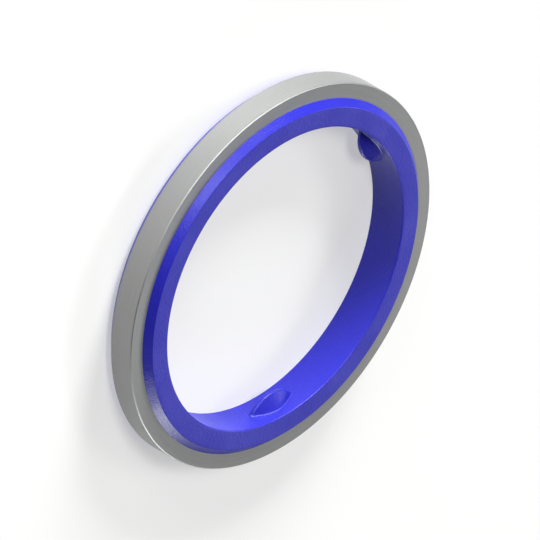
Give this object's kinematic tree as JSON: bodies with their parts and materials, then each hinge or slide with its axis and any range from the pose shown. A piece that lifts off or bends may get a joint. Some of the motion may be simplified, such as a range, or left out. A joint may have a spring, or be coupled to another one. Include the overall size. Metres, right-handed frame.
{
  "type": "bonded sealing washer",
  "caption": "Flat ring seal: a plain metal ring with an elastomer ring moulded in its bore and over its back, raised lips on both faces and thread nubs in the bore.",
  "frame": {"origin": "on the ring's axis, in the plane of the back sealing face that the washer lies on", "axes": "+Z along the ring's axis, from the back sealing face to the front one; one thread nub points along -Y from the axis"},
  "size_m": [0.0266, 0.0266, 0.0027],
  "materials": {
    "turned_steel": "fine turned",
    "moulded_elastomer": "smooth moulded"
  },
  "bodies": {
    "root": {"support_ring": "turned_steel", "sealing_ring": "moulded_elastomer"}
  },
  "joints": []
}
